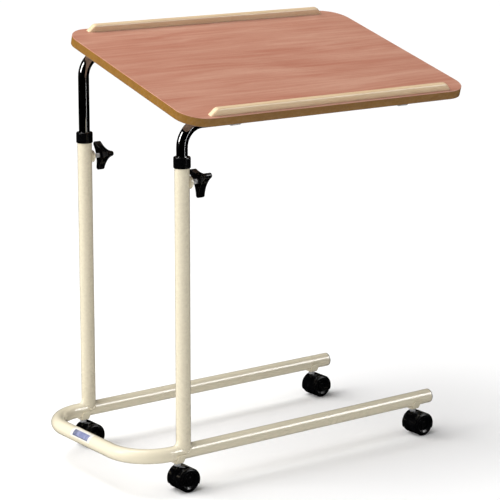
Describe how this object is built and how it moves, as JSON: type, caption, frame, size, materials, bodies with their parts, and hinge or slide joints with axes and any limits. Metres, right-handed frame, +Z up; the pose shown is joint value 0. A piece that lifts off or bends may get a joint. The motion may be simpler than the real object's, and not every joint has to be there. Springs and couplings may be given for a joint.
{
  "type": "overbed table",
  "caption": "Tilting overbed table: U-shaped tube floor frame on twin-wheel castors, two telescopic posts with clamp knobs, and a wood-pattern top with lip strips.",
  "frame": {"origin": "on the floor, under the middle of the whole table's box", "axes": "+Z up; +X along the table from the posts to the open ends of the legs; -Y towards the front, the lower edge of the top"},
  "size_m": [0.6926, 0.3896, 0.7463],
  "materials": {
    "cream_powder_coat": "smooth gloss powder coat",
    "chrome": "polished chrome plate",
    "black_plastic": "semi-gloss moulded plastic",
    "wheel_plastic": "hard moulded wheel",
    "zinc_steel": "bright zinc plate",
    "nylon": "natural nylon",
    "grey_cap": "moulded plastic",
    "label": "blank printed label",
    "board_edge": "varnished edge",
    "top_laminate": "satin wood-pattern laminate",
    "backing_laminate": "plain backing laminate",
    "beech_strip": "lacquered pale wood"
  },
  "bodies": {
    "base": {"base_frame_tube": "cream_powder_coat", "label_sticker": "label", "front_post_tube": "cream_powder_coat", "front_leg_cap": "grey_cap", "front_collar_bush": "black_plastic", "front_clamp_boss": "cream_powder_coat", "rear_post_tube": "cream_powder_coat", "rear_leg_cap": "grey_cap", "rear_collar_bush": "black_plastic", "rear_clamp_boss": "cream_powder_coat", "front_near_castor_bracket": "cream_powder_coat", "front_near_castor_stem": "zinc_steel", "rear_near_castor_bracket": "cream_powder_coat", "rear_near_castor_stem": "zinc_steel", "front_far_castor_bracket": "cream_powder_coat", "front_far_castor_stem": "zinc_steel", "rear_far_castor_bracket": "cream_powder_coat", "rear_far_castor_stem": "zinc_steel"},
    "front_arm": {"front_arm_tube": "chrome", "front_arm_end_plug": "black_plastic", "front_guide_bush": "black_plastic"},
    "rear_arm": {"rear_arm_tube": "chrome", "rear_arm_end_plug": "black_plastic", "rear_guide_bush": "black_plastic"},
    "tabletop": {"table_board": "board_edge", "top_laminate": "top_laminate", "underside_laminate": "backing_laminate", "front_lip_strip": "beech_strip", "rear_lip_strip": "beech_strip", "front_near_arm_clip": "zinc_steel", "front_far_arm_clip": "zinc_steel", "rear_near_arm_clip": "zinc_steel", "rear_far_arm_clip": "zinc_steel", "clip_screws": "zinc_steel"},
    "front_pad": {"front_pressure_pad": "nylon"},
    "front_knob": {"front_clamp_knob": "black_plastic", "front_knob_screw": "zinc_steel"},
    "rear_pad": {"rear_pressure_pad": "nylon"},
    "rear_knob": {"rear_clamp_knob": "black_plastic", "rear_knob_screw": "zinc_steel"},
    "front_near_castor": {"front_near_castor_hood": "black_plastic", "front_near_castor_axle": "zinc_steel"},
    "front_near_outer_roller": {"front_near_outer_wheel": "wheel_plastic"},
    "front_near_inner_roller": {"front_near_inner_wheel": "wheel_plastic"},
    "rear_near_castor": {"rear_near_castor_hood": "black_plastic", "rear_near_castor_axle": "zinc_steel"},
    "rear_near_outer_roller": {"rear_near_outer_wheel": "wheel_plastic"},
    "rear_near_inner_roller": {"rear_near_inner_wheel": "wheel_plastic"},
    "front_far_castor": {"front_far_castor_hood": "black_plastic", "front_far_castor_axle": "zinc_steel"},
    "front_far_outer_roller": {"front_far_outer_wheel": "wheel_plastic"},
    "front_far_inner_roller": {"front_far_inner_wheel": "wheel_plastic"},
    "rear_far_castor": {"rear_far_castor_hood": "black_plastic", "rear_far_castor_axle": "zinc_steel"},
    "rear_far_outer_roller": {"rear_far_outer_wheel": "wheel_plastic"},
    "rear_far_inner_roller": {"rear_far_inner_wheel": "wheel_plastic"}
  },
  "joints": [
    {"name": "table_height", "type": "slide", "parent": "base", "child": "front_arm", "axis": [0, 0, 1], "range_m": [-0.01, 0.28]},
    {"name": "top_tilt", "type": "hinge", "parent": "front_arm", "child": "tabletop", "pos_m": [0, -0.148, 0.6175], "axis": [1, 0, 0], "range_deg": [-15.4, 2]},
    {"name": "rear_arm_rise", "type": "slide", "parent": "front_arm", "child": "rear_arm", "axis": [0, 0, 1], "range_m": [-0.0825, 0.0108]},
    {"name": "front_screw_travel", "type": "slide", "parent": "base", "child": "front_pad", "axis": [1, 0, 0], "range_m": [0, 0.00188]},
    {"name": "front_knob_turn", "type": "hinge", "parent": "front_pad", "child": "front_knob", "pos_m": [-0.20875, -0.148, 0.5215], "axis": [1, 0, 0], "range_deg": [0, 540]},
    {"name": "rear_screw_travel", "type": "slide", "parent": "base", "child": "rear_pad", "axis": [1, 0, 0], "range_m": [0, 0.00188]},
    {"name": "rear_knob_turn", "type": "hinge", "parent": "rear_pad", "child": "rear_knob", "pos_m": [-0.20875, 0.148, 0.5215], "axis": [1, 0, 0], "range_deg": [0, 540]},
    {"name": "front_near_swivel", "type": "hinge", "parent": "base", "child": "front_near_castor", "pos_m": [-0.25075, -0.148, 0.035], "axis": [0, 0, 1], "continuous": true},
    {"name": "front_near_outer_roll", "type": "hinge", "parent": "front_near_castor", "child": "front_near_outer_roller", "pos_m": [-0.23875, -0.148, 0.02], "axis": [0, 1, 0], "continuous": true},
    {"name": "front_near_inner_roll", "type": "hinge", "parent": "front_near_castor", "child": "front_near_inner_roller", "pos_m": [-0.23875, -0.148, 0.02], "axis": [0, 1, 0], "continuous": true},
    {"name": "rear_near_swivel", "type": "hinge", "parent": "base", "child": "rear_near_castor", "pos_m": [-0.25075, 0.148, 0.035], "axis": [0, 0, 1], "continuous": true},
    {"name": "rear_near_outer_roll", "type": "hinge", "parent": "rear_near_castor", "child": "rear_near_outer_roller", "pos_m": [-0.23875, 0.148, 0.02], "axis": [0, 1, 0], "continuous": true},
    {"name": "rear_near_inner_roll", "type": "hinge", "parent": "rear_near_castor", "child": "rear_near_inner_roller", "pos_m": [-0.23875, 0.148, 0.02], "axis": [0, 1, 0], "continuous": true},
    {"name": "front_far_swivel", "type": "hinge", "parent": "base", "child": "front_far_castor", "pos_m": [0.26625, -0.148, 0.035], "axis": [0, 0, 1], "continuous": true},
    {"name": "front_far_outer_roll", "type": "hinge", "parent": "front_far_castor", "child": "front_far_outer_roller", "pos_m": [0.27825, -0.148, 0.02], "axis": [0, 1, 0], "continuous": true},
    {"name": "front_far_inner_roll", "type": "hinge", "parent": "front_far_castor", "child": "front_far_inner_roller", "pos_m": [0.27825, -0.148, 0.02], "axis": [0, 1, 0], "continuous": true},
    {"name": "rear_far_swivel", "type": "hinge", "parent": "base", "child": "rear_far_castor", "pos_m": [0.26625, 0.148, 0.035], "axis": [0, 0, 1], "continuous": true},
    {"name": "rear_far_outer_roll", "type": "hinge", "parent": "rear_far_castor", "child": "rear_far_outer_roller", "pos_m": [0.27825, 0.148, 0.02], "axis": [0, 1, 0], "continuous": true},
    {"name": "rear_far_inner_roll", "type": "hinge", "parent": "rear_far_castor", "child": "rear_far_inner_roller", "pos_m": [0.27825, 0.148, 0.02], "axis": [0, 1, 0], "continuous": true}
  ],
  "couplings": [
    {"joint": "rear_arm_rise", "follows": "top_tilt", "m_per_rad": 0.3045},
    {"joint": "front_screw_travel", "follows": "front_knob_turn", "m_per_rad": 0.00019894},
    {"joint": "rear_screw_travel", "follows": "rear_knob_turn", "m_per_rad": 0.00019894}
  ]
}
